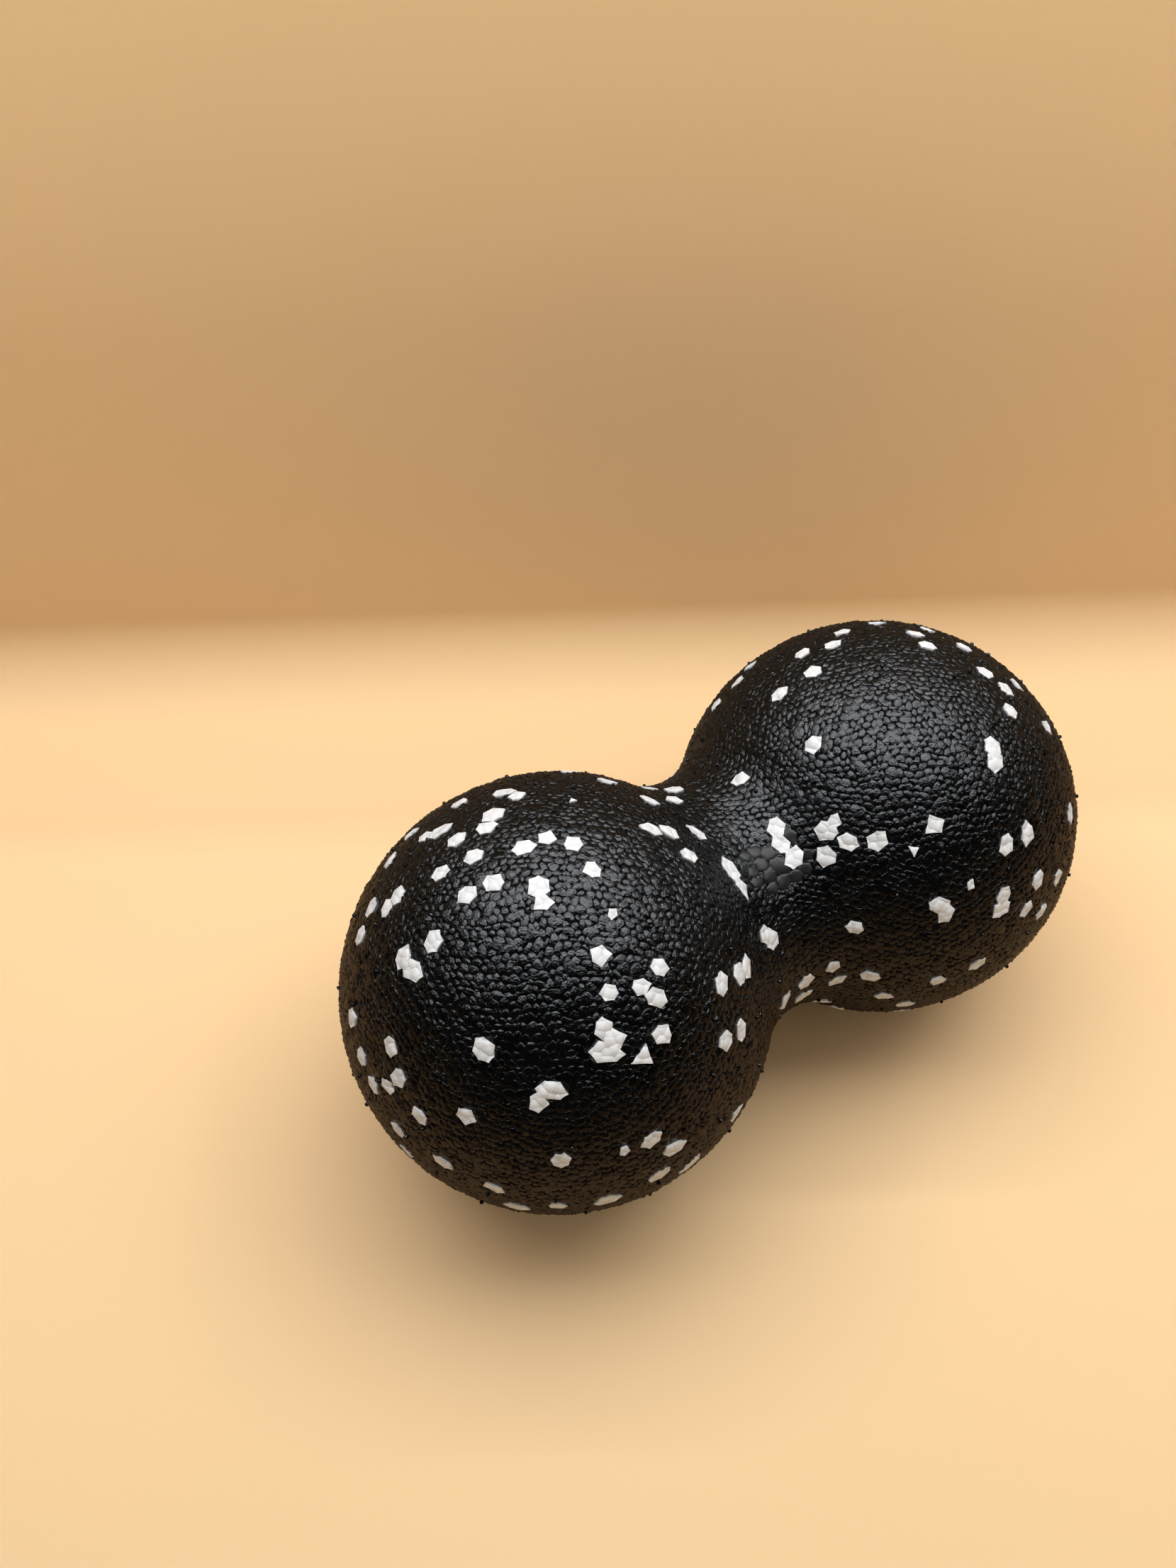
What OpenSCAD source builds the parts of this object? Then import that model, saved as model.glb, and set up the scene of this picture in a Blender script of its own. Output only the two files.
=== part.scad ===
// Peanut massage ball: two balls and a round neck in one moulding of bead foam.
// Most of the beads are black. The white ones lie flush among them.
// The long axis is X, Z is up, and the origin is the middle of the neck.

/* [Form] */
// Diameter of each ball
ball_d = 80; // [70:1:100]
// Distance between the centres of the two balls
centre_gap = 75; // [60:1:80]
// Radius of the hollow that carries the balls into the neck
neck_hollow_r = 15; // [10:1:30]

/* [White beads] */
// Width of a white bead across its corners
bead_w = 3.9; // [2.5:0.1:5]
// How deep a white bead reaches below the surface
bead_depth = 2; // [1:0.1:4]
// Places on each ball where white beads show
ball_places = 92; // [20:1:110]
// Places round the neck where white beads show
neck_places = 17; // [8:1:18]
// Furthest that a bead strays from its even place
stray = 2.2; // [0:0.1:2.5]
// One place in so many holds two beads side by side
pair_every = 6; // [3:1:20]

/* [Filling mark] */
// Diameter of the smooth round mark where the mould was filled
mark_d = 10.5; // [6:0.5:14]
// Depth of the mark
mark_depth = 0.3; // [0.1:0.1:0.8]
// Distance of the mark from the middle of the neck, along the long axis
mark_x = 2.5; // [0:0.5:5]
// Turn of the mark round the long axis, away from straight up
mark_turn = 28; // [0:1:90]

/* [Hidden] */

// Facets of the round forms, fine enough for the shallow bead tops
$fn = 240;

ball_r = ball_d / 2;
half_gap = centre_gap / 2;

// The hollow is a circle beyond the middle of the neck that touches both balls.
hollow_y = sqrt(pow(ball_r + neck_hollow_r, 2) - pow(half_gap, 2));
neck_r = hollow_y - neck_hollow_r;

// Angle at a ball's centre between the long axis and the line to the hollow's centre
join_a = atan2(hollow_y, half_gap);

// How far a cutter stands out of the surface
proud = 1;
// Least width of foam between a ball's last beads and the first ones of the neck
web = 1;

// Each next place turns by the golden angle, which spreads them evenly.
golden_a = 360 * (3 - sqrt(5)) / 2;

// The same scatter each time: a number from 0 to 1 for place i and use k
function scatter(i, k) =
    let (s = sin(i * 127.1 + k * 311.7) * 43758.5453)
    s - floor(s);

// A scattered number from -most to most
function astray(i, k, most) = (2 * scatter(i, k) - 1) * most;

// Angle that a length covers on an arc
function arc_a(length, r) = length / r * 180 / PI;

// Half of the profile: both balls and the web between them, less the hollow.
// grow moves the surface out, or in where it is negative.
module half_profile(grow) {
    r = ball_r + grow;
    join_x = half_gap - r * cos(join_a);
    join_y = r * sin(join_a);
    difference() {
        union() {
            for (side = [-1, 1])
                translate([side * half_gap, 0])
                    intersection() {
                        circle(r = r);
                        translate([-r, 0]) square([2 * r, r]);
                    }
            translate([-join_x, 0]) square([2 * join_x, join_y]);
        }
        translate([0, hollow_y]) circle(r = neck_hollow_r - grow);
    }
}

// The peanut, turned about its long axis
module peanut(grow = 0) {
    rotate([0, 90, 0]) rotate_extrude() rotate(-90) half_profile(grow);
}

// Sets its children on a ball's surface, with their Z pointing out.
// polar is the angle from the ball's outer end, and turn is the angle round the long axis.
module on_ball(side, polar, turn) {
    rotate([0, 0, side > 0 ? 0 : 180])
        translate([half_gap, 0, 0])
            rotate([turn, 0, 0])
                rotate([0, 90 - polar, 0])
                    translate([0, 0, ball_r]) children();
}

// Sets its children on the neck, with their Z pointing out.
// lean is the angle along the hollow, and turn is the angle round the long axis.
module on_neck(lean, turn) {
    rotate([turn, 0, 0])
        translate([0, 0, hollow_y])
            rotate([0, lean, 0])
                translate([0, 0, -neck_hollow_r]) children();
}

// Outline of bead i: five to seven corners at uneven steps and reaches
module bead_outline(i) {
    corners = 5 + floor(2.6 * scatter(i, 1));
    step = 360 / corners;
    polygon([
        for (c = [0 : corners - 1])
            let (
                a = step * (c + astray(i, 10 + c, 0.16)),
                reach = bead_w / 2 * (1 - 0.26 * scatter(i, 20 + c))
            )
            [reach * cos(a), reach * sin(a)]
    ]);
}

// The bead or the pair at place i, as a prism through the surface
module bead_place(i, paired) {
    translate([0, 0, -bead_depth])
        linear_extrude(height = bead_depth + proud)
            rotate(360 * scatter(i, 3)) {
                bead_outline(i);
                if (paired)
                    translate([0.8 * bead_w, 0]) bead_outline(i + 0.5);
            }
}

// Every white bead as a prism. Places on a ball run from its outer end to the neck,
// each with the same share of its surface.
module bead_prisms() {
    edge = 1.3 * bead_w + stray + web;
    last_a = 180 - join_a - arc_a(edge, ball_r);
    last_share = 1 - cos(last_a);
    for (side = [-1, 1], k = [0 : ball_places - 1]) {
        i = k + (side > 0 ? 0 : 500);
        polar = acos(1 - last_share * (k + 0.5) / ball_places);
        polar_stray = astray(i, 5, arc_a(stray, ball_r));
        turn_stray = astray(i, 6, arc_a(stray, ball_r * max(sin(polar), 0.3)));
        on_ball(side, polar + polar_stray, golden_a * k + turn_stray)
            bead_place(i, k % pair_every == 0);
    }
    lean_most = max(90 - join_a - arc_a(bead_w / 2, neck_hollow_r), 0);
    for (k = [0 : neck_places - 1])
        on_neck(astray(k + 900, 5, lean_most), 360 / neck_places * k)
            bead_place(k + 900, false);
}

// What the filling mark takes away: a disc of even depth that follows the surface
module filling_mark() {
    difference() {
        on_neck(-asin(mark_x / neck_hollow_r), mark_turn)
            translate([0, 0, -neck_hollow_r / 2])
                cylinder(h = neck_hollow_r, d = mark_d);
        peanut(-mark_depth);
    }
}

module foam_body() {
    color([0.06, 0.06, 0.06])
        difference() {
            peanut();
            bead_prisms();
            filling_mark();
        }
}

module white_beads() {
    color([0.92, 0.91, 0.88])
        intersection() {
            bead_prisms();
            peanut();
        }
}

foam_body();
white_beads();
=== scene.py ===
"""Peanut massage ball of black bead foam: pebbled skin, white beads and a filling mark.

Everything is in metres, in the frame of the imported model. The form is turned about X."""

import bpy
import numpy as np
from mathutils import Matrix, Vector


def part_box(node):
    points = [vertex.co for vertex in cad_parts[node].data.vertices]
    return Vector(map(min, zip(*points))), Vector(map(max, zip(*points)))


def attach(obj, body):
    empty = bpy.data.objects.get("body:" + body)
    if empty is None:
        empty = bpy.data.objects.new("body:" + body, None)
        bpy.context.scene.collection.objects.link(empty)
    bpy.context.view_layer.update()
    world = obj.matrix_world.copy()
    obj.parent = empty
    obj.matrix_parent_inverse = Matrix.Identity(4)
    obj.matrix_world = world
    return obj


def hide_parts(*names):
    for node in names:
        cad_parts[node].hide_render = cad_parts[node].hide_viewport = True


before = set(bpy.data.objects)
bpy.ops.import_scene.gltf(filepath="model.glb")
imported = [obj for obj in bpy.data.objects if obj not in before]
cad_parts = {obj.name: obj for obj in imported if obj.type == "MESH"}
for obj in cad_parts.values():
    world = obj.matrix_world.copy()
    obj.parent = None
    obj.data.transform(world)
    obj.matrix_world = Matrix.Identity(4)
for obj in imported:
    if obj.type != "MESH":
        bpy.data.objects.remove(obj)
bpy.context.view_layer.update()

MM = 0.001
low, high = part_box("foam_body")
BALL_R = high.z
HALF_GAP = high.x - BALL_R
FLOOR_Z = low.z

# The hollow that carries the balls into the neck touches both of them.
HOLLOW_R = 15 * MM
HOLLOW_Y = np.sqrt((BALL_R + HOLLOW_R) ** 2 - HALF_GAP ** 2)
JOIN_A = np.arctan2(HOLLOW_Y, HALF_GAP)

# Lengths along the profile, from the left end to the right one
BALL_ARC = BALL_R * (np.pi - JOIN_A)
NECK_ARC = HOLLOW_R * (np.pi - 2 * JOIN_A)
PROFILE_ARC = 2 * BALL_ARC + NECK_ARC

# Camera: place, heading from +Y towards +X, dip below the horizon, and roll, in degrees
CAMERA_AT = np.array([-0.090288, -0.102372, 0.190009])
CAMERA_HEADING, CAMERA_DIP, CAMERA_ROLL = 30.643, 49.149, -1.921
FOCAL_PX = 1662
PICTURE_W, PICTURE_H = 1659, 2212
# Level directions ahead of the camera and to its right
HEADING = np.radians(CAMERA_HEADING)
AWAY = np.array([np.sin(HEADING), np.cos(HEADING), 0.0])
ACROSS = np.array([np.cos(HEADING), -np.sin(HEADING), 0.0])

# The pebbled grain: spacing of the pebbles, and heights above the form of a pebble's middle, of the
# deepest creases, and of the skin where a white bead or the filling mark lies over it
PEBBLE_PITCH = 1.5 * MM
PEBBLE_CROWN = 0.05 * MM
PEBBLE_CREASE = -0.27 * MM
UNDER_BEAD = -0.35 * MM
UNDER_MARK = -0.4 * MM

# The beads of the foam swell a little under the skin: length and height of the swells, and how
# many waves they are the sum of
SWELL_LENGTH = 4.2 * MM
SWELL_HEIGHT = 0.05 * MM
SWELL_WAVES = 40

# Points round the outline of a bead
RIM = 18
# Beads read from the picture are drawn larger by these shares, because their rounded corners
# take some of their size away
WHITE_GROWTH, MARK_GROWTH = 1.07, 1.15
# Least distance from a white bead that shows to the next one of the source's rule
BEAD_GAP = 4.5 * MM
# A point shows where the camera's ray through its picture place lands within this of it
SEEN_WITHIN = 2.5 * MM

# Vent nubs: spacing of the net, its stray, least distance from a nub that shows, and clearance
# from the white beads and from the floor
NUB_NET = 13 * MM
NUB_STRAY = 0.8 * MM
NUB_GAP = 6 * MM
NUB_BEAD_GAP = 0.4 * MM
NUB_FLOOR_GAP = 0.5 * MM

# White beads that show: place in the picture (px), length and width (mm), turn (degrees), corners
WHITE_SEEN = [
    # Ball in front, top and far side
    (711, 1117, 4.2, 2.8, 0, 6), (728, 1122, 3.0, 2.6, 20, 5), (647, 1132, 3.2, 2.8, 10, 6),
    (695, 1149, 3.8, 3.4, 30, 6), (686, 1167, 3.6, 3.0, 0, 6), (619, 1172, 4.4, 2.6, 10, 6),
    (599, 1179, 3.2, 2.4, -10, 5), (579, 1175, 3.2, 2.4, 0, 5), (643, 1184, 3.6, 3.0, 30, 6),
    (668, 1208, 3.4, 2.8, 20, 6), (621, 1231, 3.0, 2.6, 0, 6), (739, 1195, 3.9, 3.1, 10, 6),
    (771, 1182, 3.4, 3.0, 0, 5), (808, 1190, 2.9, 2.9, 0, 6), (836, 1226, 2.9, 3.1, 15, 6),
    (695, 1245, 3.4, 3.0, 0, 6), (659, 1262, 3.4, 2.9, 40, 6), (760, 1250, 3.9, 3.4, 90, 6),
    (765, 1272, 3.2, 2.9, 0, 5), (864, 1289, 1.9, 1.6, 60, 5), (803, 1088, 3.4, 2.6, 0, 5),
    (857, 1101, 3.2, 2.6, 0, 6), (914, 1111, 3.2, 2.0, 0, 5), (808, 1129, 1.6, 1.4, 0, 3),
    (917, 1128, 3.4, 2.4, 0, 6), (951, 1113, 3.6, 2.6, -20, 6), (951, 1128, 3.2, 2.4, 0, 5),
    (918, 1168, 3.8, 2.8, -10, 6), (945, 1172, 3.8, 2.6, -20, 6), (973, 1206, 3.3, 3.0, 0, 6),
    (983, 1173, 4.2, 2.6, -20, 6),
    # Its left side
    (549, 1213, 3.4, 2.6, 60, 6), (561, 1262, 3.4, 2.9, 60, 6), (544, 1281, 3.4, 2.8, 50, 6),
    (522, 1281, 3.6, 2.8, 60, 6), (507, 1320, 3.4, 3.0, 60, 6), (610, 1327, 3.6, 3.2, 60, 6),
    (568, 1351, 3.9, 3.1, 70, 6), (581, 1369, 4.3, 3.3, -20, 6), (496, 1436, 3.6, 2.9, 80, 6),
    (550, 1476, 3.4, 3.0, 100, 6), (509, 1490, 3.2, 2.8, 90, 6), (561, 1522, 3.4, 3.0, 60, 6),
    (547, 1533, 3.0, 2.8, 0, 5), (525, 1530, 3.2, 2.8, 90, 6), (591, 1575, 3.6, 2.8, -50, 6),
    (560, 1594, 3.6, 2.6, -60, 5), (574, 1626, 3.4, 2.6, -60, 5),
    # Its front
    (682, 1481, 3.6, 3.1, -70, 7), (656, 1575, 3.3, 2.9, -20, 5), (847, 1348, 3.2, 3.1, 0, 5),
    (931, 1364, 3.2, 2.9, 0, 6), (860, 1399, 2.9, 2.6, 0, 6), (905, 1392, 3.1, 2.7, 10, 6),
    (927, 1407, 3.7, 3.1, -10, 6), (851, 1452, 3.4, 2.9, 90, 6), (866, 1467, 3.8, 3.1, 20, 5),
    (857, 1486, 4.9, 3.5, 0, 6), (935, 1460, 3.2, 2.9, 0, 6), (907, 1493, 4.2, 3.9, 90, 3),
    (778, 1538, 4.3, 3.2, -10, 6), (759, 1557, 3.5, 3.2, 70, 5), (881, 1625, 2.0, 1.6, 60, 5),
    (791, 1638, 3.0, 3.1, 20, 7), (623, 1640, 3.6, 2.8, -30, 6), (697, 1677, 3.8, 2.6, -25, 5),
    (727, 1703, 4.4, 3.0, -10, 6), (786, 1702, 2.9, 2.4, 0, 6), (857, 1694, 4.8, 3.2, 10, 6),
    (920, 1609, 3.6, 3.0, 20, 6), (952, 1621, 4.2, 3.2, 10, 6), (932, 1658, 4.2, 3.0, 40, 6),
    (973, 1644, 5.2, 3.0, 40, 6), (1039, 1572, 3.8, 2.8, 60, 6),
    # Its right side
    (1019, 1388, 3.8, 3.0, 100, 6), (1045, 1374, 3.8, 3.0, 80, 6), (1054, 1363, 3.5, 2.9, 100, 5),
    (1080, 1319, 3.3, 2.9, 105, 6), (1090, 1325, 3.7, 2.9, 105, 6), (1025, 1468, 3.3, 2.8, 90, 6),
    (1047, 1455, 3.8, 2.8, 90, 6), (1032, 1228, 4.8, 2.8, -60, 6), (1047, 1251, 4.4, 2.2, -57, 4),
    # Neck
    (1095, 1167, 3.5, 3.0, 80, 6), (1102, 1190, 4.2, 2.7, -50, 6), (1121, 1210, 4.1, 3.3, 80, 6),
    (1044, 1099, 3.2, 2.6, 0, 6), (1009, 993, 3.0, 2.4, 30, 6), (1040, 961, 3.2, 2.6, 30, 6),
    (1058, 938, 3.0, 2.4, 20, 6),
    # Ball on the right, top and far side
    (1166, 1173, 3.9, 3.3, 0, 6), (1176, 1159, 2.8, 2.4, 60, 5), (1195, 1187, 3.9, 3.1, -20, 6),
    (1165, 1208, 3.7, 3.4, 20, 6), (1237, 1186, 3.6, 3.1, 40, 6), (1318, 1164, 3.4, 3.3, 30, 4),
    (1289, 1199, 2.6, 1.7, -80, 3), (1147, 1051, 3.4, 3.1, 30, 6), (1100, 978, 3.4, 2.9, 30, 6),
    (1147, 947, 3.3, 3.0, 30, 6), (1174, 909, 3.3, 2.9, 20, 6), (1132, 921, 3.4, 2.6, 20, 6),
    (1188, 891, 3.4, 2.6, 10, 5), (1237, 878, 3.6, 2.4, 0, 5), (1291, 893, 3.2, 2.6, -20, 6),
    (1310, 910, 3.3, 2.9, -20, 6), (1308, 887, 3.4, 2.4, -20, 5), (1360, 912, 3.3, 2.9, -30, 6),
    (1390, 948, 3.5, 3.0, -30, 6), (1421, 973, 3.5, 3.0, -40, 6), (1435, 965, 3.0, 2.4, -40, 5),
    (1425, 1002, 3.3, 3.0, -60, 6), (1401, 1053, 4.2, 3.2, 90, 6), (1404, 1073, 4.2, 3.2, 90, 6),
    (1478, 1025, 3.4, 2.8, -60, 5),
    # Its right side and its underside
    (1511, 1148, 3.6, 2.6, 90, 6), (1450, 1176, 4.0, 3.0, 90, 6), (1420, 1192, 3.8, 2.8, 80, 6),
    (1466, 1241, 3.4, 2.9, 80, 6), (1493, 1238, 3.4, 2.9, 80, 6), (1370, 1249, 2.2, 1.5, 70, 4),
    (1326, 1278, 4.2, 3.2, -20, 6), (1335, 1289, 3.8, 3.1, 80, 5), (1206, 1309, 3.1, 2.8, -10, 6),
    (1417, 1265, 3.6, 2.9, 70, 6), (1412, 1284, 3.8, 3.0, 30, 6), (1449, 1283, 3.4, 2.8, 60, 5),
    (1470, 1286, 3.3, 2.7, 60, 6), (1378, 1362, 3.5, 2.7, 40, 6), (1323, 1384, 3.0, 2.3, 10, 6),
    (1227, 1378, 3.8, 2.4, -5, 6), (1175, 1364, 3.0, 2.5, 60, 5), (1138, 1385, 4.0, 2.9, 65, 6),
    (1181, 1384, 4.4, 2.0, 40, 5), (1132, 1407, 4.0, 2.7, 40, 6), (1109, 1412, 3.9, 2.6, 60, 5),
    (1249, 1406, 3.4, 2.7, 0, 6), (1277, 1417, 3.8, 3.0, 5, 6), (1157, 1413, 4.0, 2.4, 0, 5),
    (1181, 1422, 3.6, 2.4, -20, 5), (1270, 1429, 3.0, 2.2, 10, 5),
]

# Smooth black beads of the filling mark, in the same terms
MARK_SEEN = [
    (1066, 1201, 2.6, 2.3, 20, 6), (1085, 1204, 2.8, 2.6, 0, 6), (1053, 1207, 2.2, 2.0, 0, 6),
    (1075, 1219, 2.8, 2.5, 0, 6), (1101, 1221, 3.6, 3.0, 0, 7), (1087, 1235, 2.6, 2.6, 30, 6),
    (1064, 1230, 2.2, 2.0, 40, 6), (1107, 1243, 2.8, 2.4, 60, 6), (1124, 1236, 2.6, 2.3, 0, 6),
    (1137, 1225, 2.4, 2.2, 0, 6), (1070, 1245, 2.2, 1.9, 0, 6), (1091, 1252, 2.2, 2.0, 0, 6),
    (1113, 1180, 2.9, 2.5, -60, 5), (1139, 1205, 2.2, 2.0, 0, 6),
]

# Vent nubs that show, in picture px
NUBS_SEEN = [
    (1030, 1596), (1075, 1511), (1496, 1039), (1394, 924), (1508, 1234), (1420, 1363),
    (679, 1697), (517, 1558), (784, 1695), (781, 1144), (712, 1137), (808, 1111), (793, 1242),
    (535, 1525), (573, 1604), (688, 1685), (730, 1670), (1346, 954), (1245, 940), (1368, 947),
    (1354, 968), (1335, 1010), (1436, 1071), (1458, 1055),
]


def unit(vectors):
    """Each row divided by its length."""
    return vectors / np.maximum(np.linalg.norm(vectors, axis=-1, keepdims=True), 1e-12)


def camera_axes():
    """Right, up and ahead of the camera: the level directions, dipped and then rolled."""
    dip, roll = np.radians([CAMERA_DIP, CAMERA_ROLL])
    ahead = AWAY * np.cos(dip) - np.array([0, 0, np.sin(dip)])
    right = ACROSS * np.cos(roll) + np.cross(ACROSS, ahead) * np.sin(roll)
    return right, np.cross(right, ahead), ahead


RIGHT, UP, AHEAD = camera_axes()


def profile(along):
    """Point (x, radius) of the profile at a length along it from the left end.
    It follows the ball's circle up to the join and then the hollow's, and mirrors at mid-length."""
    along = np.asarray(along, float)
    near = np.minimum(along, PROFILE_ARC - along)
    polar = np.minimum(near, BALL_ARC) / BALL_R
    lean = np.pi / 2 - JOIN_A - (near - BALL_ARC) / HOLLOW_R
    on_ball = near <= BALL_ARC
    x = np.where(on_ball, -HALF_GAP - BALL_R * np.cos(polar), -HOLLOW_R * np.sin(lean))
    radius = np.where(on_ball, BALL_R * np.sin(polar), HOLLOW_Y - HOLLOW_R * np.cos(lean))
    return np.where(along > PROFILE_ARC / 2, -x, x), radius


def on_form(along, turn):
    """The profile's point turned about X: (x, -radius sin turn, radius cos turn)."""
    x, radius = profile(along)
    return np.column_stack([x, -radius * np.sin(turn), radius * np.cos(turn)])


def nearest(points):
    """Foot on the form, outward normal and height above the form for each point.
    The line from a ball's centre to the hollow's centre parts the ball's share from the neck's."""
    x, out = points[:, 0], np.hypot(points[:, 1], points[:, 2])
    from_ball = points.copy()
    from_ball[:, 0] -= np.where(x < 0, -HALF_GAP, HALF_GAP)
    reach = np.linalg.norm(from_ball, axis=1)
    normal = from_ball / reach[:, None]
    height = reach - BALL_R
    spoke = points[:, 1:] / np.maximum(out, 1e-9)[:, None]
    from_hollow = np.column_stack([x, (out - HOLLOW_Y)[:, None] * spoke])
    gap = np.maximum(np.linalg.norm(from_hollow, axis=1), 1e-9)
    neck = (HOLLOW_Y * (HALF_GAP - abs(x)) > HALF_GAP * out) & (out < HOLLOW_Y)
    normal[neck] = -(from_hollow / gap[:, None])[neck]
    height[neck] = (HOLLOW_R - gap)[neck]
    return points - normal * height[:, None], normal, height


def swell(points):
    """Low swells of the skin over the foam's beads: a sum of waves in scattered directions, scaled
    so that its root mean square is SWELL_HEIGHT."""
    rng = np.random.default_rng(21)
    way = unit(rng.normal(size=(SWELL_WAVES, 3)))
    way = way * rng.uniform(0.75, 1.5, (SWELL_WAVES, 1)) * 2 * np.pi / SWELL_LENGTH
    phase = rng.uniform(0, 2 * np.pi, SWELL_WAVES)
    waves = np.sin(points @ way.T + phase)
    return SWELL_HEIGHT * np.sqrt(2 / SWELL_WAVES) * waves.sum(axis=1)


def lifted(points, lift):
    """The points' feet on the form, moved out by lift and by the swell along the normal."""
    foot, normal, _ = nearest(points)
    return foot + normal * (np.asarray(lift) + swell(foot))[:, None]


def cast(places):
    """Point of the form behind each picture place. The camera's ray steps on by most of its height
    above the form until it lands, or else the foot of its closest pass counts."""
    steps, step_share = 90, 0.9
    u, v = np.asarray(places, float).T
    ray = unit(AHEAD + np.outer((u - PICTURE_W / 2) / FOCAL_PX, RIGHT)
               - np.outer((v - PICTURE_H / 2) / FOCAL_PX, UP))
    far = np.zeros(len(ray))
    best, closest = np.full(len(ray), np.inf), far.copy()
    for _ in range(steps):
        height = nearest(CAMERA_AT + ray * far[:, None])[2]
        closer = height < best
        best, closest = np.where(closer, height, best), np.where(closer, far, closest)
        far = far + step_share * height
    return nearest(CAMERA_AT + ray * closest[:, None])[0]


def picture_place(points):
    """Picture place (px) of each point, by the camera's own perspective."""
    ray = points - CAMERA_AT
    depth = ray @ AHEAD
    return np.column_stack([PICTURE_W / 2 + FOCAL_PX * (ray @ RIGHT) / depth,
                            PICTURE_H / 2 - FOCAL_PX * (ray @ UP) / depth])


def showing(points):
    """True for each point of the form that the camera sees, with nothing of it in the way."""
    return np.linalg.norm(cast(picture_place(points)) - points, axis=1) < SEEN_WITHIN


def smooth_object(name, points, faces, material):
    """A smooth-shaded mesh object with its finish."""
    mesh = bpy.data.meshes.new(name)
    mesh.from_pydata(np.asarray(points).tolist(), [], faces)
    mesh.polygons.foreach_set("use_smooth", np.ones(len(mesh.polygons), bool))
    mesh.materials.append(material)
    made = bpy.data.objects.new(name, mesh)
    bpy.context.scene.collection.objects.link(made)
    return made


def new_piece(name, points, faces, material, slot):
    """A piece on the body, sharp where its faces meet steeply. Its slot is not used."""
    steep = 50
    piece = smooth_object(name, points, faces, material)
    piece.data.set_sharp_from_angle(angle=np.radians(steep))
    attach(piece, "root")
    return piece


# Beads: each is a flat many-sided cell with its own centre, axes and outline

def tangent_axes(normal, along):
    """Two axes in the surface: the given direction laid into it, and the one at a right angle."""
    first = unit(along - normal * np.sum(along * normal, axis=1, keepdims=True))
    return first, np.cross(normal, first)


def cell_outline(angles, reaches, hollow):
    """Rim points of one cell, RIM of them. Points between two corners lie on the straight side, and
    a side bows in by the share hollow at its middle. Each point then moves by the share eased
    towards its two neighbours."""
    eased = 0.16
    count = len(angles)
    corner = np.column_stack([np.cos(angles), np.sin(angles)]) * np.asarray(reaches)[:, None]
    start = np.round(np.arange(count + 1) * RIM / count).astype(int)
    rim = np.empty((RIM, 2))
    for c in range(count):
        part = np.linspace(0, 1, start[c + 1] - start[c], endpoint=False)[:, None]
        side = corner[c] + (corner[(c + 1) % count] - corner[c]) * part
        rim[start[c]:start[c + 1]] = side * (1 - 4 * hollow * part * (1 - part))
    beside = np.roll(rim, 1, axis=0) + np.roll(rim, -1, axis=0)
    return (1 - eased) * rim + eased / 2 * beside


def seen_cells(rows, seed, grow):
    """Cells for given rows: centres cast from the picture, first axis laid along the picture's
    right, outline of unequal corners scaled to the row's length and width, times grow."""
    uneven, hollow = 0.2, 0.09
    rng = np.random.default_rng(seed)
    rows = np.asarray(rows, float)
    centre, normal, _ = nearest(cast(rows[:, :2]))
    first, second = tangent_axes(normal, np.broadcast_to(RIGHT, normal.shape))
    rims = []
    for length, width, turn, corners in rows[:, 2:]:
        count = int(corners)
        angles = (np.arange(count) + rng.uniform(-uneven, uneven, count)) * 2 * np.pi / count
        reaches = rng.uniform(0.94, 1.24, count)
        rim = cell_outline(angles, reaches, hollow) * [length / 2 * MM, width / 2 * MM] * grow
        c, s = np.cos(np.radians(turn)), np.sin(np.radians(turn))
        rims.append(rim @ np.array([[c, s], [-s, c]]))
    return centre, first, second, np.array(rims)


def scatter(i, k):
    """The source's scatter: the fraction of sin(127.1 i + 311.7 k degrees) times 43758.5453."""
    s = np.sin(np.radians(i * 127.1 + k * 311.7)) * 43758.5453
    return s - np.floor(s)


def astray(i, k, most):
    """A scattered number from -most to most."""
    return (2 * scatter(i, k) - 1) * most


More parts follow.
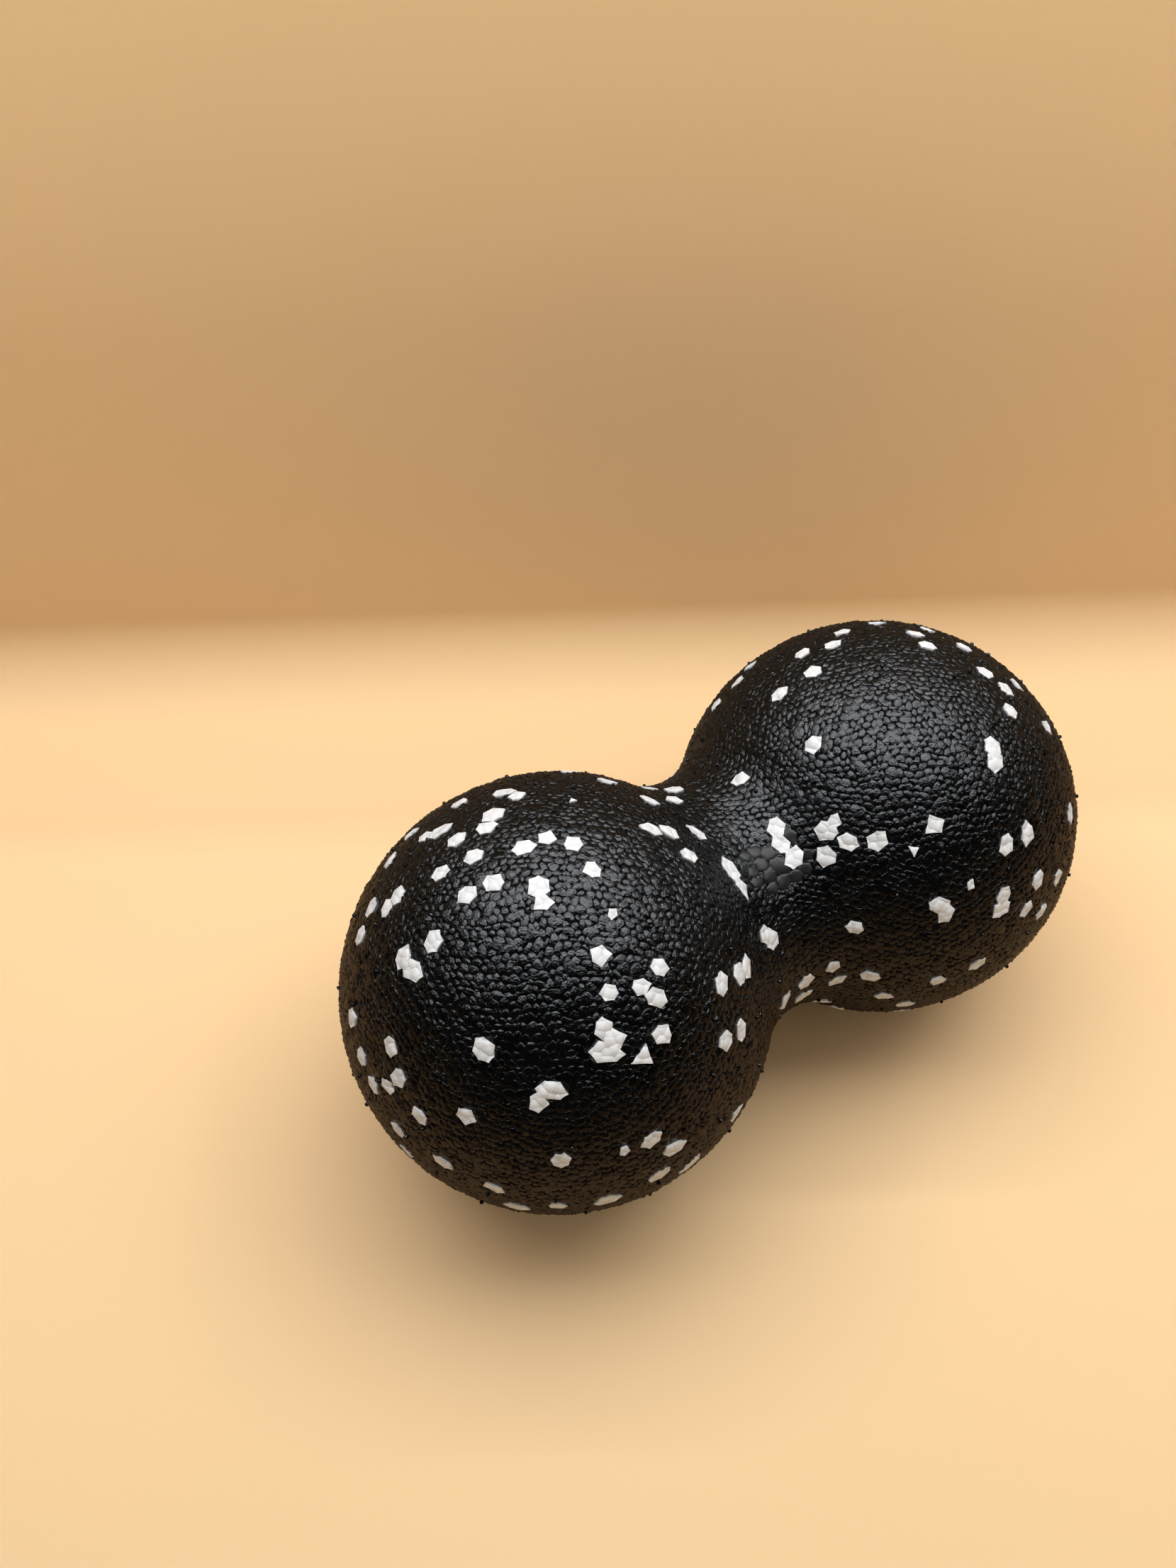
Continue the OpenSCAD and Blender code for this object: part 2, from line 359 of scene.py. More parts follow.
def rule_cells():
    """Cells where the source's rule sets its white beads, with the source's own values: equal
    shares of each ball's surface, each next one turned by the golden angle, and a row round the
    neck."""
    bead_w, stray, web = 3.9 * MM, 2.2 * MM, 1 * MM
    places, neck_places, pair_every = 92, 17, 6
    last_a = np.pi - JOIN_A - (1.3 * bead_w + stray + web) / BALL_R
    golden = np.pi * (3 - np.sqrt(5))
    centre, first, second, names, paired = [], [], [], [], []
    for side in (1, -1):
        k = np.arange(places)
        i = k + (0 if side > 0 else 500)
        polar = np.arccos(1 - (1 - np.cos(last_a)) * (k + 0.5) / places)
        turn = golden * k + astray(i, 6, 1) * stray / (BALL_R * np.maximum(np.sin(polar), 0.3))
        polar = polar + astray(i, 5, stray / BALL_R)
        cp, sp, ct, st = np.cos(polar), np.sin(polar), np.cos(turn), np.sin(turn)
        flip = np.array([side, side, 1])
        centre.append(np.column_stack([HALF_GAP + BALL_R * cp, -BALL_R * sp * st,
                                       BALL_R * sp * ct]) * flip)
        first.append(np.column_stack([sp, cp * st, -cp * ct]) * flip)
        second.append(np.column_stack([0 * cp, ct, st]) * flip)
        names.append(i)
        paired.append(k % pair_every == 0)
    k = np.arange(neck_places)
    i = k + 900
    lean = astray(i, 5, max(np.pi / 2 - JOIN_A - bead_w / 2 / HOLLOW_R, 0))
    turn = 2 * np.pi / neck_places * k
    out = HOLLOW_Y - HOLLOW_R * np.cos(lean)
    centre.append(np.column_stack([-HOLLOW_R * np.sin(lean), -out * np.sin(turn),
                                   out * np.cos(turn)]))
    first.append(np.column_stack([np.cos(lean), np.sin(lean) * np.sin(turn),
                                  -np.sin(lean) * np.cos(turn)]))
    second.append(np.column_stack([0 * turn, np.cos(turn), np.sin(turn)]))
    names.append(i)
    paired.append(np.zeros(neck_places, bool))
    centre, first, second = (np.concatenate(part) for part in (centre, first, second))
    names, paired = np.concatenate(names), np.concatenate(paired)

    cells = []
    for c, a, b, i, two in zip(centre, first, second, names, paired):
        swing = 2 * np.pi * scatter(i, 3)
        ca, sa = np.cos(swing), np.sin(swing)
        a, b = a * ca + b * sa, b * ca - a * sa
        for name, shift in ((i, 0), (i + 0.5, 0.8 * bead_w))[:2 if two else 1]:
            count = 5 + int(2.6 * scatter(name, 1))
            corner = np.arange(count)
            angles = 2 * np.pi / count * (corner + astray(name, 10 + corner, 0.16))
            reaches = bead_w / 2 * (1 - 0.26 * scatter(name, 20 + corner))
            cells.append((c + a * shift, a, b, cell_outline(angles, reaches, 0.05)))
    centre, first, second, rims = (np.array(part) for part in zip(*cells))
    return nearest(centre)[0], first, second, rims


def join_cells(some, more):
    """Two sets of cells as one."""
    return tuple(np.concatenate(part) for part in zip(some, more))


def cells_mesh(cells, crown, edge, wall):
    """Points and faces of closed cells. Rings stand at shares of the outline and at heights above
    the form: crown at the centre, edge at the rim, and wall at the foot of the side."""
    centre, first, second, rims = cells
    count = len(centre)
    rings = [(0.55, crown), (0.9, (crown + edge) / 2), (1.0, edge), (1.0, wall)]
    outline = rims[..., :1] * first[:, None, :] + rims[..., 1:] * second[:, None, :]
    flat = [centre[:, None, :]] + [centre[:, None, :] + share * outline for share, _ in rings]
    heights = [np.full((count, 1), crown)] + [np.full((count, RIM), height) for _, height in rings]
    points = np.concatenate(flat, axis=1)
    lift = np.concatenate(heights, axis=1)
    size = points.shape[1]
    points = lifted(points.reshape(-1, 3), lift.reshape(-1))
    step = np.arange(RIM)
    after = (step + 1) % RIM
    faces = [[0, 1 + a, 1 + b] for a, b in zip(step, after)]
    for ring in range(len(rings) - 1):
        base = 1 + ring * RIM
        faces += [[base + a, base + RIM + a, base + RIM + b, base + b] for a, b in zip(step, after)]
    faces.append([1 + (len(rings) - 1) * RIM + a for a in step[::-1]])
    all_faces = [[start + corner for corner in face]
                 for start in range(0, count * size, size) for face in faces]
    return points, all_faces


def covered(points, cells, margin):
    """True for each point that lies inside a cell's outline, widened by margin: nearer to the
    cell's centre than the outline is in the point's direction."""
    widest = 4 * MM
    centre, first, second, rims = cells
    under = np.zeros(len(points), bool)
    for c, a, b, rim in zip(centre, first, second, rims):
        close = np.flatnonzero(np.abs(points - c).max(axis=1) < widest)
        away = points[close] - c
        x, y = away @ a, away @ b
        edge = np.interp(np.arctan2(y, x), np.arctan2(rim[:, 1], rim[:, 0]),
                         np.hypot(rim[:, 0], rim[:, 1]), period=2 * np.pi)
        under[close[np.hypot(x, y) < edge + margin]] = True
    return under


# The pebbled skin

def pebble_rings():
    """Length along the profile and number of pebbles of each ring of them. Rings stand as far
    apart as rows of equal triangles do, each holds as many pebbles as its girth takes, and each
    end has one."""
    row_share, fewest = 0.866, 5
    steps = int(round(PROFILE_ARC / (row_share * PEBBLE_PITCH)))
    along = np.linspace(0, PROFILE_ARC, steps + 1)
    count = np.round(2 * np.pi * profile(along)[1] / PEBBLE_PITCH).astype(int)
    count = np.maximum(count, fewest)
    count[[0, -1]] = 1
    return along, count


def ring_triangles(count, offset):
    """Triangles that join the rings. The gap between two neighbours on a ring is closed by the
    pebble nearest to its middle on the ring above, and likewise on the ring below."""
    start = np.concatenate([[0], np.cumsum(count)[:-1]])
    ring = np.repeat(np.arange(len(count)), count)
    j = np.arange(len(ring)) - start[ring]
    inner = (ring > 0) & (ring < len(count) - 1)
    ring, j = ring[inner], j[inner]
    here, beside = start[ring] + j, start[ring] + (j + 1) % count[ring]
    middle = (j + 0.5 + offset[ring]) / count[ring]
    apexes = []
    for other in (ring + 1, ring - 1):
        pick = np.round(middle * count[other] - offset[other]).astype(int) % count[other]
        apexes.append(start[other] + pick)
    return np.concatenate([np.column_stack([here, beside, apexes[0]]),
                           np.column_stack([beside, here, apexes[1]])])


def pebbled_skin(under_beads, in_mark):
    """Points, triangles and corner values of the skin, and its number of pebbles. Pebble centres
    are joined in triangles, the middle of each triangle is a junction of three creases, and each
    pebble is a fan from its raised centre to the sunk junctions round it."""
    jitter, evened = 0.62, 0.45
    rng = np.random.default_rng(11)
    along, count = pebble_rings()
    offset = rng.uniform(0, 1, len(count))
    ring = np.repeat(np.arange(len(count)), count)
    start = np.concatenate([[0], np.cumsum(count)[:-1]])
    turn = 2 * np.pi * (np.arange(len(ring)) - start[ring] + offset[ring]) / count[ring]
    pebbles = on_form(along[ring], turn)
    pebbles = nearest(pebbles + rng.uniform(-jitter, jitter, pebbles.shape) * PEBBLE_PITCH)[0]
    triangles = ring_triangles(count, offset)
    total = len(pebbles)

    # Each pebble moves towards the mean of the triangles round it, which evens out the crowds.
    corners = triangles.ravel()
    middles = np.repeat(nearest(pebbles[triangles].mean(axis=1))[0], 3, axis=0)
    around = np.column_stack([np.bincount(corners, middles[:, axis], total) for axis in range(3)])
    around = around / np.bincount(corners, minlength=total)[:, None]
    pebbles = nearest((1 - evened) * pebbles + evened * around)[0]
    # A junction stands nearer to the heavier of its pebbles, so that pebbles differ in size.
    weight = rng.uniform(0.5, 1.5, total)[triangles][..., None]
    junctions = nearest((pebbles[triangles] * weight).sum(axis=1) / weight.sum(axis=1))[0]

    tail, head = triangles.ravel(), np.roll(triangles, -1, axis=1).ravel()
    owner = np.repeat(np.arange(len(triangles)), 3)
    key = tail * total + head
    order = np.argsort(key)
    back = owner[order[np.searchsorted(key, head * total + tail, sorter=order)]]
    faces = np.column_stack([tail, total + back, total + owner])

    crown = PEBBLE_CROWN * rng.uniform(-1.0, 1.9, total)
    # Many junctions are shallower than the crease, and pebbles run together there.
    depth = np.clip(rng.uniform(0.65, 1.25, len(junctions)), 0.65, 1)
    crease = PEBBLE_CREASE * depth
    flat = np.concatenate([pebbles, junctions])
    lift = np.concatenate([crown, crease])
    lift[covered(flat, in_mark, 0.05 * MM)] = UNDER_MARK
    lift[covered(flat, under_beads, 0.02 * MM)] = UNDER_BEAD
    points = lifted(flat, lift)

    # Corner values: how far out of its pebble a corner lies, as two parts, and the pebble's own lot
    normal = nearest(flat)[1]
    first, second = tangent_axes(normal[:total], np.broadcast_to([0.3, 0.5, 0.81], (total, 3)))
    values = np.zeros((len(faces), 3, 3), np.float32)
    values[:, :, 2] = rng.uniform(0, 1, total)[tail][:, None]
    for corner in (1, 2):
        away = flat[faces[:, corner]] - flat[tail]
        angle = np.arctan2(np.sum(away * second[tail], axis=1), np.sum(away * first[tail], axis=1))
        reach = depth[faces[:, corner] - total]
        values[:, corner, 0], values[:, corner, 1] = reach * np.cos(angle), reach * np.sin(angle)
    return points, faces, values, total


def crease_edges(mesh, pebbles):
    """Marks the edges between two pebbles as sharp, so that each pebble shades as its own dome."""
    ends = np.empty(2 * len(mesh.edges), np.int32)
    mesh.edges.foreach_get("vertices", ends)
    sharp = mesh.attributes.get("sharp_edge")
    if sharp is None:
        sharp = mesh.attributes.new("sharp_edge", "BOOLEAN", "EDGE")
    sharp.data.foreach_set("value", ends.reshape(-1, 2).min(axis=1) >= pebbles)


# Vent nubs

def nub_places(white):
    """Nubs seen in the picture, and a net of them over the rest, on black foam only and clear of
    the floor."""
    seen = cast(NUBS_SEEN)
    rng = np.random.default_rng(5)
    rows = int(round(PROFILE_ARC / NUB_NET))
    along = (np.arange(rows) + 0.5) * PROFILE_ARC / rows
    count = np.maximum(np.round(2 * np.pi * profile(along)[1] / NUB_NET).astype(int), 3)
    row = np.repeat(np.arange(rows), count)
    j = np.concatenate([np.arange(n) for n in count])
    turn = 2 * np.pi * (j + 0.5 * (row % 2)) / count[row] + rng.uniform(-0.04, 0.04, len(j))
    rest = nearest(on_form(along[row] + rng.uniform(-1, 1, len(j)) * NUB_STRAY, turn))[0]
    apart = np.linalg.norm(rest[:, None] - seen[None], axis=2).min(axis=1) > NUB_GAP
    places = np.concatenate([seen, rest[apart]])
    clear = places[:, 2] > FLOOR_Z + NUB_FLOOR_GAP
    return places[clear & ~covered(places, white, NUB_BEAD_GAP)]


def nub_mesh(places):
    """Points and faces of small round-topped pins: rings of falling radius at rising heights up
    the normal, and a point on top."""
    sides, top_height = 7, 0.39 * MM
    centre, normal, _ = nearest(places)
    rng = np.random.default_rng(9)
    first, second = tangent_axes(normal, np.broadcast_to([0.2, 0.6, 0.77], normal.shape))
    around = np.arange(sides) * 2 * np.pi / sides
    rings = np.array([(0.36, -0.2), (0.34, 0.12), (0.29, 0.28), (0.15, 0.37)]) * MM
    size = rng.uniform(0.75, 1.2, len(centre))[:, None, None, None]
    spoke = (np.cos(around)[:, None] * first[:, None, :]
             + np.sin(around)[:, None] * second[:, None, :])
    body = (centre[:, None, None, :] + size * (rings[:, 0][:, None, None] * spoke[:, None]
            + rings[:, 1][:, None, None] * normal[:, None, None, :]))
    top = centre + normal * top_height * size[:, 0, 0]
    points = np.concatenate([body.reshape(len(centre), -1, 3), top[:, None]], axis=1)
    step = np.arange(sides)
    after = (step + 1) % sides
    last, tip = (len(rings) - 1) * sides, len(rings) * sides
    faces = [[base + a, base + b, base + sides + b, base + sides + a]
             for base in range(0, last, sides) for a, b in zip(step, after)]
    faces += [[last + a, last + b, tip] for a, b in zip(step, after)] + [list(step[::-1])]
    return points.reshape(-1, 3), [[n * (tip + 1) + corner for corner in face]
                                   for n in range(len(centre)) for face in faces]


# Materials

def node(tree, kind, place, **settings):
    """A shader node at a place in the tree, with its properties set."""
    new = tree.nodes.new(kind)
    new.location = place
    for name, value in settings.items():
        setattr(new, name, value)
    return new


def math(tree, operation, place, first, second=None, clamp=False):
    """A Math node. Each value is a socket or a number."""
    new = node(tree, "ShaderNodeMath", place, operation=operation, use_clamp=clamp)
    for slot, value in enumerate((first, second)):
        if value is None:
            continue
        if isinstance(value, (int, float)):
            new.inputs[slot].default_value = value
        else:
            tree.links.new(value, new.inputs[slot])
    return new.outputs[0]


def ramp(tree, place, value, stops, smooth="LINEAR"):
    """A Color Ramp fed by value, with stops of position and grey or colour."""
    new = node(tree, "ShaderNodeValToRGB", place)
    new.color_ramp.interpolation = smooth
    elements = new.color_ramp.elements
    while len(elements) < len(stops):
        elements.new(0.5)
    for element, (position, shade) in zip(elements, stops):
        element.position = position
        element.color = (shade, shade, shade, 1) if isinstance(shade, (int, float)) else (*shade, 1)
    tree.links.new(value, new.inputs["Fac"])
    return new.outputs["Color"]


def multiplied(tree, place, first, second):
    """Two colours multiplied."""
    new = node(tree, "ShaderNodeMix", place, data_type="RGBA", blend_type="MULTIPLY")
    new.inputs["Factor"].default_value = 1.0
    tree.links.new(first, new.inputs[6])
    tree.links.new(second, new.inputs[7])
    return new.outputs[2]


def bumped(tree, shader, place, height, strength, distance):
    """Bumps of the given height on the shader's normal."""
    bump = node(tree, "ShaderNodeBump", place)
    bump.inputs["Strength"].default_value = strength
    bump.inputs["Distance"].default_value = distance
    tree.links.new(height, bump.inputs["Height"])
    tree.links.new(bump.outputs["Normal"], shader.inputs["Normal"])


def plain_material(name, roughness=0.5):
    """A material with a Principled shader, and its tree and shader."""
    material = bpy.data.materials.new(name)
    material.use_nodes = True
    tree = material.node_tree
    shader = tree.nodes["Principled BSDF"]
    shader.inputs["Roughness"].default_value = roughness
    return material, tree, shader


def bead_blotch_group():
    """Values that change from one bead of the foam to the next: Shade, even over a bead, Seam, 1 on
    the line between two beads, Dome, 1 at a bead's middle and less towards its rim, and Grit, the
    fine roughness of the skin."""
    group = bpy.data.node_groups.new("bead_blotch", "ShaderNodeTree")
    group.interface.new_socket("Bead size", in_out="INPUT", socket_type="NodeSocketFloat")
    for name in ("Shade", "Seam", "Dome", "Grit"):
        group.interface.new_socket(name, in_out="OUTPUT", socket_type="NodeSocketFloat")
    source = node(group, "NodeGroupInput", (-900, 0))
    result = node(group, "NodeGroupOutput", (500, 0))
    where = node(group, "ShaderNodeTexCoord", (-900, -200)).outputs["Object"]
    density = math(group, "DIVIDE", (-700, 0), 1.0, source.outputs["Bead size"])
    beads = node(group, "ShaderNodeTexVoronoi", (-450, 150))
    edges = node(group, "ShaderNodeTexVoronoi", (-450, -150), feature="DISTANCE_TO_EDGE")
    for voronoi in (beads, edges):
        group.links.new(where, voronoi.inputs["Vector"])
        group.links.new(density, voronoi.inputs["Scale"])
    parts = node(group, "ShaderNodeSeparateColor", (-200, 150))
    group.links.new(beads.outputs["Color"], parts.inputs[0])
    seam = math(group, "SUBTRACT", (0, -150), 1.0,
                math(group, "MULTIPLY", (-200, -150), edges.outputs["Distance"], 14.0, True), True)
    dome = math(group, "SUBTRACT", (0, 0), 1.0,
                math(group, "POWER", (-200, 0), beads.outputs["Distance"], 2.0))
    grit = node(group, "ShaderNodeTexNoise", (-200, -400))
    grit.inputs["Scale"].default_value = 2400
    grit.inputs["Detail"].default_value = 3
    group.links.new(where, grit.inputs["Vector"])
    group.links.new(parts.outputs[0], result.inputs["Shade"])
    group.links.new(seam, result.inputs["Seam"])
    group.links.new(dome, result.inputs["Dome"])
    group.links.new(grit.outputs["Fac"], result.inputs["Grit"])
    return group


def blotch(tree, group, place, bead_size):
    """The bead_blotch group placed in a material."""
    new = node(tree, "ShaderNodeGroup", place, node_tree=group)
    new.inputs["Bead size"].default_value = bead_size
    return new.outputs


def black_pebbled(group):
    """Black foam skin. Each pebble is a low dome with steep sides, and many have a flat shoulder
    near the edge. The corner values of the mesh say where: their length is 0 at a pebble's centre
    and 1 at its deepest corners."""
    material, tree, shader = plain_material("black_pebbled_foam")
    links = tree.links
    cell = node(tree, "ShaderNodeAttribute", (-1500, 0), attribute_name="cell")
    split = node(tree, "ShaderNodeSeparateXYZ", (-1300, 0))
    links.new(cell.outputs["Vector"], split.inputs[0])
    squares = [math(tree, "MULTIPLY", (-1150, 150 - 100 * axis), split.outputs[axis],
                    split.outputs[axis]) for axis in (0, 1)]
    reach = math(tree, "SQRT", (-900, 100), math(tree, "ADD", (-1000, 100), *squares))
    beads = blotch(tree, group, (-1300, -400), 3.4 * MM)

    # The shoulder is full on some pebbles and missing on others.
    shouldered = ramp(tree, (-700, 300), reach, [
        (0.0, 0.95), (0.3, 0.93), (0.5, 0.86), (0.66, 0.86), (0.8, 0.64), (1.0, 0.0)], "CARDINAL")
    plain = ramp(tree, (-700, 0), reach, [
        (0.0, 1.0), (0.3, 0.97), (0.6, 0.86), (0.8, 0.6), (1.0, 0.0)], "CARDINAL")
    pick = ramp(tree, (-700, -250), split.outputs[2], [(0.15, 0.0), (0.6, 1.0)])
    shape = node(tree, "ShaderNodeMix", (-400, 150), data_type="FLOAT")
    links.new(pick, shape.inputs["Factor"])
    links.new(plain, shape.inputs[2])
    links.new(shouldered, shape.inputs[3])
    height = math(tree, "ADD", (-200, 100), shape.outputs[0],
                  math(tree, "MULTIPLY", (-400, -100), beads["Grit"], 0.9))
    bumped(tree, shader, (0, -200), height, 1.0, 0.18 * MM)

    # Beads differ a little in shade, and the creases are darker towards their bottoms: painted
    # shade.
    tone = ramp(tree, (-700, -450), beads["Shade"], [(0.0, (0.0005, 0.0005, 0.0006)),
                                                     (1.0, (0.002, 0.002, 0.0022))])
    crease_shade = ramp(tree, (-700, -650), reach, [(0.7, 1.0), (1.0, 0.35)])
    links.new(multiplied(tree, (-300, -450), tone, crease_shade), shader.inputs["Base Color"])
    # Pebbles are glossy on top and rough in the creases.
    rim = ramp(tree, (-700, -850), reach, [(0.7, 0.06), (0.95, 0.8)])
    grit = math(tree, "MULTIPLY", (-450, -750), beads["Grit"], 0.16)
    links.new(math(tree, "ADD", (-300, -750), rim, grit), shader.inputs["Roughness"])
    # The creases are made a near-black metal, so that hardly any light comes back out of them:
    # painted shade in the creases.
    black = ramp(tree, (-300, -950), reach, [(0.76, 0.0), (0.93, 0.9)])
    links.new(black, shader.inputs["Metallic"])
    shader.inputs["Specular IOR Level"].default_value = 0.9
    # The shader tints the highlights cool: a painted tint of the reflected light.
    shader.inputs["Specular Tint"].default_value = (0.9, 0.945, 1.0, 1)
    return material


def black_smooth(group):
    """Smooth black foam of the filling mark: a fine skin, with a slight change of shade from bead
    to bead."""
    material, tree, shader = plain_material("black_smooth_foam", 0.4)
    beads = blotch(tree, group, (-900, 0), 2.6 * MM)
    tone = ramp(tree, (-500, 0), beads["Shade"], [(0.0, (0.008, 0.009, 0.0105)),
                                                  (1.0, (0.017, 0.0185, 0.021))])
    tree.links.new(tone, shader.inputs["Base Color"])
    bumped(tree, shader, (-300, -300), beads["Grit"], 0.5, 0.04 * MM)
    return material


def white_faced(group):
    """White foam: the grain's pebbles show as low domes, and their creases are a little darker, a
    painted shade.
    """
    material, tree, shader = plain_material("white_bead_foam", 0.55)
    beads = blotch(tree, group, (-1100, 0), 1.5 * MM)
    tone = ramp(tree, (-700, 150), beads["Shade"], [(0.0, (0.7, 0.725, 0.76)),
                                                    (1.0, (0.81, 0.835, 0.87))])
    # Painted shade: the creases of the grain are a little darker.
    seam = ramp(tree, (-700, -100), beads["Seam"], [(0.0, 1.0), (1.0, 0.93)])
    tree.links.new(multiplied(tree, (-400, 100), tone, seam), shader.inputs["Base Color"])
    height = math(tree, "ADD", (-500, -300), beads["Dome"],
                  math(tree, "MULTIPLY", (-700, -450), beads["Grit"], 0.1))
    bumped(tree, shader, (-300, -300), height, 1.0, 0.42 * MM)
    return material


def paper(name, colour, painted_reflection, way, stops):
    """Matt peach paper of the floor and backdrop, clear from behind. The foam mirrors it in a
    painted reflection colour, darker than the paper, which fades towards a painted dark in front
    that stands for the dark room. The camera sees it paler by a painted glow of the stops'
    strengths, along the given way."""
    kept = 0.1
    material, tree, shader = plain_material(name, 0.7)
    shader.inputs["Specular IOR Level"].default_value = 0.25
    shader.inputs["Emission Color"].default_value = (*colour, 1)
    place = node(tree, "ShaderNodeTexCoord", (-1100, 0)).outputs["Object"]
    path = node(tree, "ShaderNodeLightPath", (-700, -500)).outputs
    # Painted reflection: glossy rays see the mirrored colour instead of the paper's, and in front
    # only a tenth of it.
    shade = node(tree, "ShaderNodeMix", (-300, 100), data_type="RGBA")
    shade.inputs[6].default_value = (*colour, 1)
    nearer = node(tree, "ShaderNodeVectorMath", (-900, 300), operation="DOT_PRODUCT")
    tree.links.new(place, nearer.inputs[0])
    nearer.inputs[1].default_value = (-AHEAD[0], -AHEAD[1], 0)
    painted_front_dark = tuple(kept * part for part in painted_reflection)
    painted_reflection_fade = ramp(tree, (-600, 300), nearer.outputs["Value"], [(0.07, painted_reflection), (0.12, painted_front_dark)])
    tree.links.new(painted_reflection_fade, shade.inputs[7])
    tree.links.new(path["Is Glossy Ray"], shade.inputs["Factor"])
    tree.links.new(shade.outputs[2], shader.inputs["Base Color"])
    # Painted light: seen by the camera, the paper glows by the stops' strengths along the given
    # way.
    along = node(tree, "ShaderNodeVectorMath", (-900, -300), operation="DOT_PRODUCT")
    tree.links.new(place, along.inputs[0])
    along.inputs[1].default_value = way
    share = math(tree, "SUBTRACT", (-750, -300), along.outputs["Value"], FLOOR_Z * way[2])
    painted_glow = ramp(tree, (-600, -300), share, stops)
    tree.links.new(math(tree, "MULTIPLY", (-300, -300), painted_glow, path["Is Camera Ray"]),
                   shader.inputs["Emission Strength"])
    clear = node(tree, "ShaderNodeBsdfTransparent", (100, -200))
    mix = node(tree, "ShaderNodeMixShader", (350, 0))
    facing = node(tree, "ShaderNodeNewGeometry", (100, 200))
    tree.links.new(facing.outputs["Backfacing"], mix.inputs[0])
    tree.links.new(shader.outputs[0], mix.inputs[1])
    tree.links.new(clear.outputs[0], mix.inputs[2])
    tree.links.new(mix.outputs[0], tree.nodes["Material Output"].inputs["Surface"])
    return material


# Stage, lights and camera

def build_stage():
    """A flat floor, and a sheet that rises from it in a quarter circle and then straight up,
    square to the camera's heading."""
    peach = (0.88, 0.63, 0.36)
    # Half of the floor's side, and the distance at which its glow comes to its full share
    reach, glow_reach = 1.6, 0.1
    corners = [(x * reach, y * reach, FLOOR_Z) for x, y in ((-1, -1), (1, -1), (1, 1), (-1, 1))]
    # The floor's glow is painted light that pales it towards the wall, and its mirrored colour a
    # painted reflection.
    floor = smooth_object("floor", corners, [[0, 1, 2, 3]], paper(
        "peach_paper", peach, (0.28, 0.165, 0.075), AWAY / glow_reach, [(0.4, 0.0), (0.9, 0.2)]))
    # Distance of the wall, radius of its bend, its height and half of its width
    wall, bend, top, half = 0.111, 0.02, 0.2, 0.55
    arc = np.linspace(0, np.pi / 2, 13)
    line = np.column_stack([wall - bend + bend * np.sin(arc), bend - bend * np.cos(arc)])
    line = np.vstack([line, [wall, top]])
    rows = [AWAY * d + [0, 0, FLOOR_Z + h] for d, h in line]
    points = [row - ACROSS * half for row in rows] + [row + ACROSS * half for row in rows]
    n = len(rows)
    faces = [[k, n + k, n + k + 1, k + 1] for k in range(n - 1)]
    # The backdrop's glow is painted light, palest at the bend and the top, and its mirrored colour
    # a painted reflection.
    backdrop = smooth_object("backdrop", points, faces, paper(
        "peach_paper_wall", peach, (0.25, 0.19, 0.13), (0, 0, 1 / top),
        [(0.0, 0.2), (0.1, 0.0), (0.5, 0.05), (1.0, 0.25)]))


def area_light(name, place, size, radiance, turn=0):
    """A rectangular light that faces straight down, turned about the vertical by so many degrees.
    Its power is radiance times pi times area."""
    light = bpy.data.lights.new(name, "AREA")
    light.shape = "RECTANGLE"
    light.size, light.size_y = size
    light.energy = radiance * np.pi * size[0] * size[1]
    lamp = bpy.data.objects.new(name, light)
    lamp.matrix_world = Matrix.Translation(place) @ Matrix.Rotation(np.radians(turn), 4, "Z")
    bpy.context.scene.collection.objects.link(lamp)
    return lamp


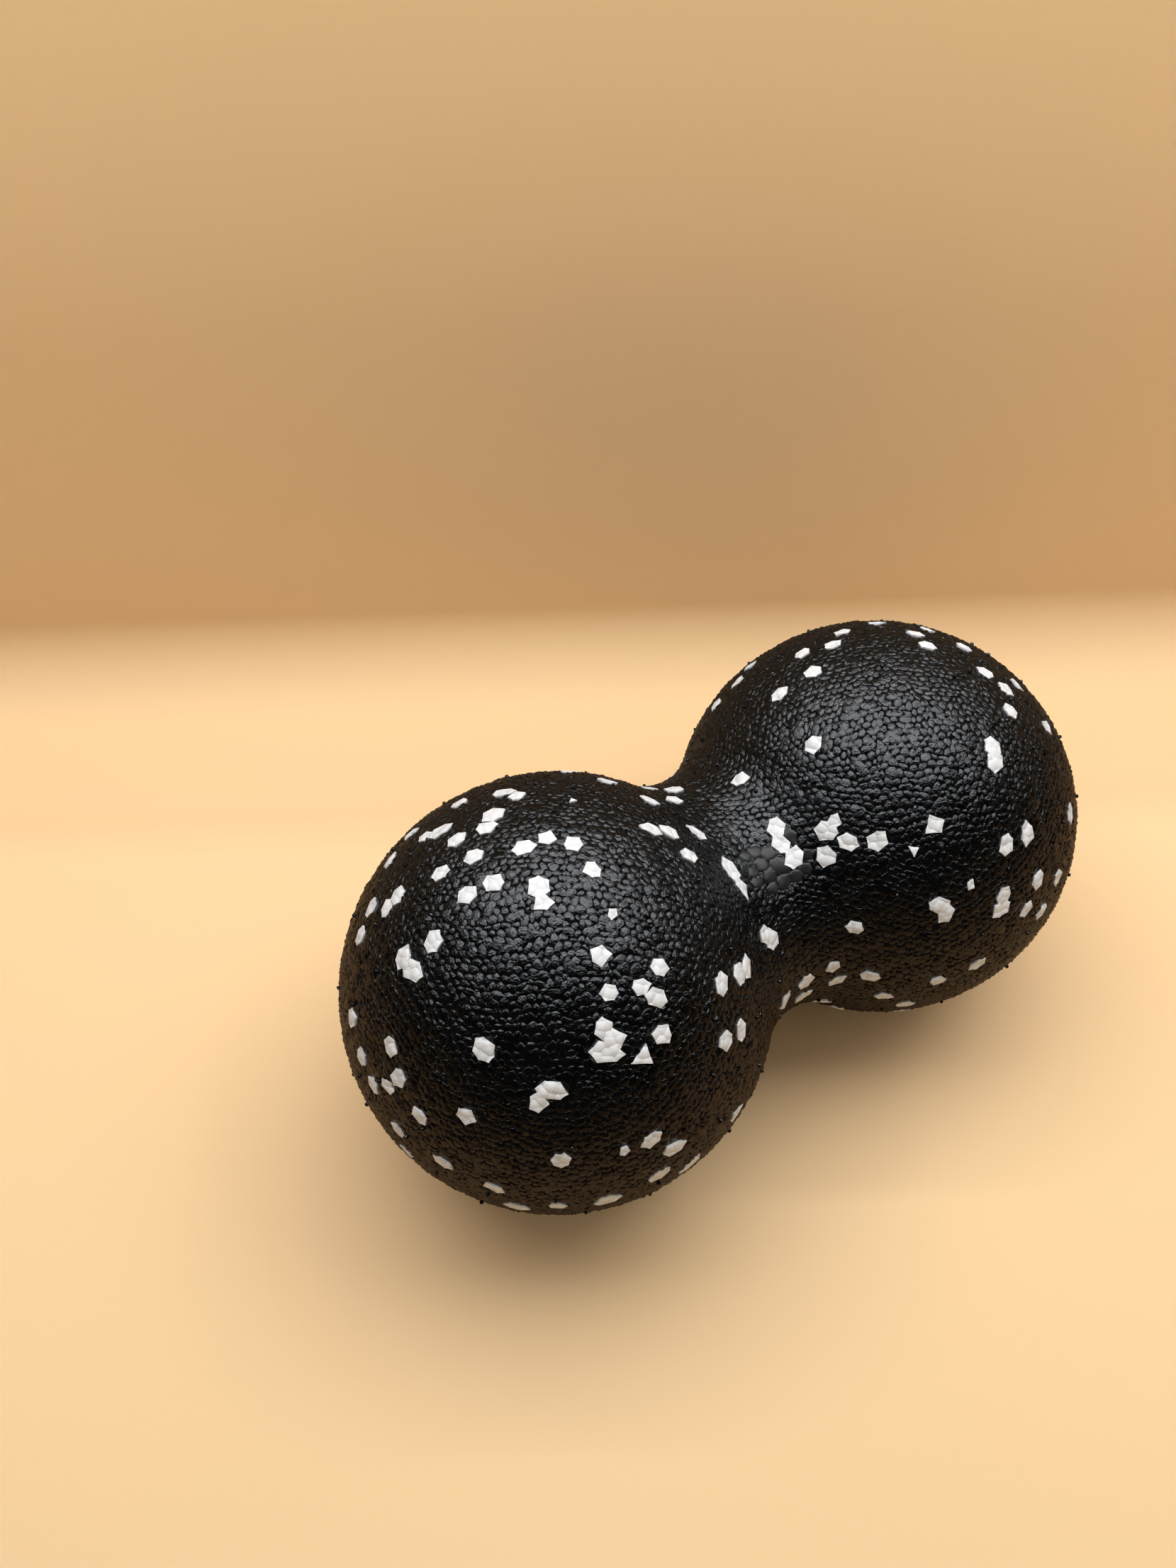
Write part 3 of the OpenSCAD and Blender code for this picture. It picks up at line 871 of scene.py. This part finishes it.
def build_lights():
    """A panel close overhead, a bright strip along its back and each side, which give the shadow
    its edges, a broad warm panel that the foam doesn't mirror, and a dim room."""
    height = 0.45
    for name, x, y, size, radiance in (
            ("overhead_panel", 0.06, 0.025, (0.85, 0.26), 2.85),
            ("back_strip", 0.093, 0.177, (0.5, 0.02), 19),
            ("left_strip", -0.2, 0.171, (0.02, 0.31), 11),
            ("right_strip", 0.229, -0.084, (0.02, 0.31), 14)):
        area_light(name, (x, y, height), size, radiance, -CAMERA_HEADING)
    soft = area_light("soft_panel", (-0.2, -0.6, 0.95), (2.6, 1.8), 0.62)
    soft.data.color = (1.0, 0.91, 0.79)
    soft.visible_glossy = False
    world = bpy.data.worlds.new("dim_room")
    world.use_nodes = True
    backdrop = world.node_tree.nodes["Background"]
    backdrop.inputs["Color"].default_value = (0.9, 0.95, 1.0, 1)
    backdrop.inputs["Strength"].default_value = 0.015
    bpy.context.scene.world = world


def build_camera():
    """The camera, with its sensor along the picture's height."""
    sensor = 36
    data = bpy.data.cameras.new("camera")
    data.sensor_width = sensor
    data.sensor_fit = "AUTO"
    data.lens = sensor * FOCAL_PX / PICTURE_H
    data.clip_start = 0.01
    camera = bpy.data.objects.new("camera", data)
    turn = np.eye(4)
    turn[:3, 0], turn[:3, 1], turn[:3, 2], turn[:3, 3] = RIGHT, UP, -AHEAD, CAMERA_AT
    camera.matrix_world = Matrix(turn.tolist())
    bpy.context.scene.collection.objects.link(camera)
    bpy.context.scene.camera = camera


# The beads are settled first, because the skin makes room for them.
white_seen = seen_cells(WHITE_SEEN, 3, WHITE_GROWTH)
white_rule = rule_cells()
from_seen = np.linalg.norm(white_rule[0][:, None] - white_seen[0][None], axis=2).min(axis=1)
unseen = ~showing(white_rule[0]) & (from_seen > BEAD_GAP)
white = join_cells(white_seen, tuple(part[unseen] for part in white_rule))
mark = seen_cells(MARK_SEEN, 4, MARK_GROWTH)

blotches = bead_blotch_group()
pebbled = black_pebbled(blotches)

points, faces, values, pebbles = pebbled_skin(white, mark)
skin = new_piece("foam_skin", points, faces.tolist(), pebbled, "black_foam")
crease_edges(skin.data, pebbles)
cell = skin.data.attributes.new("cell", "FLOAT_VECTOR", "CORNER")
cell.data.foreach_set("vector", values.ravel())
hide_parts("foam_body")

white_piece = new_piece("white_bead_faces", *cells_mesh(white, 0.07 * MM, 0.0, -0.4 * MM),
                        white_faced(blotches), "white_foam")
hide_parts("white_beads")

mark_piece = new_piece("filling_mark", *cells_mesh(mark, -0.05 * MM, -0.22 * MM, -0.6 * MM),
                       black_smooth(blotches), "black_foam")

nubs = new_piece("vent_nubs", *nub_mesh(nub_places(white)), pebbled, "black_foam")

build_stage()
build_lights()
build_camera()
bpy.context.scene.view_settings.view_transform = "Standard"
